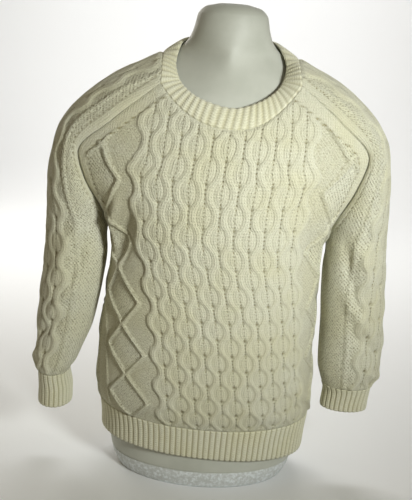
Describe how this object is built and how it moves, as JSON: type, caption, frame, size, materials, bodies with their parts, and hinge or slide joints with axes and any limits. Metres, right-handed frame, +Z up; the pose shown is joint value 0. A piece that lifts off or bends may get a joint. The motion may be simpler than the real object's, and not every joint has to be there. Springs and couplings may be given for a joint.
{
  "type": "cable knit sweater on a limbless dress form",
  "caption": "Long-sleeved raglan pullover with raised honeycomb cables and ribbed neck, hem and cuffs, filled out on a smooth limbless torso form",
  "frame": {"origin": "the middle of the dress form's flat base", "axes": "+Z up, the front of the sweater faces -Y, +X is the wearer's left"},
  "size_m": [0.628, 0.2707, 0.834],
  "materials": {
    "wool": "off-white wool, matte, knitted",
    "form_cover": "smooth off-white moulded shell"
  },
  "bodies": {
    "root": {"front": "wool", "back": "wool", "sleeve_right": "wool", "sleeve_left": "wool", "cuff_right": "wool", "cuff_left": "wool", "hem_front": "wool", "hem_back": "wool", "neckband": "wool", "dress_form": "form_cover"}
  },
  "joints": []
}
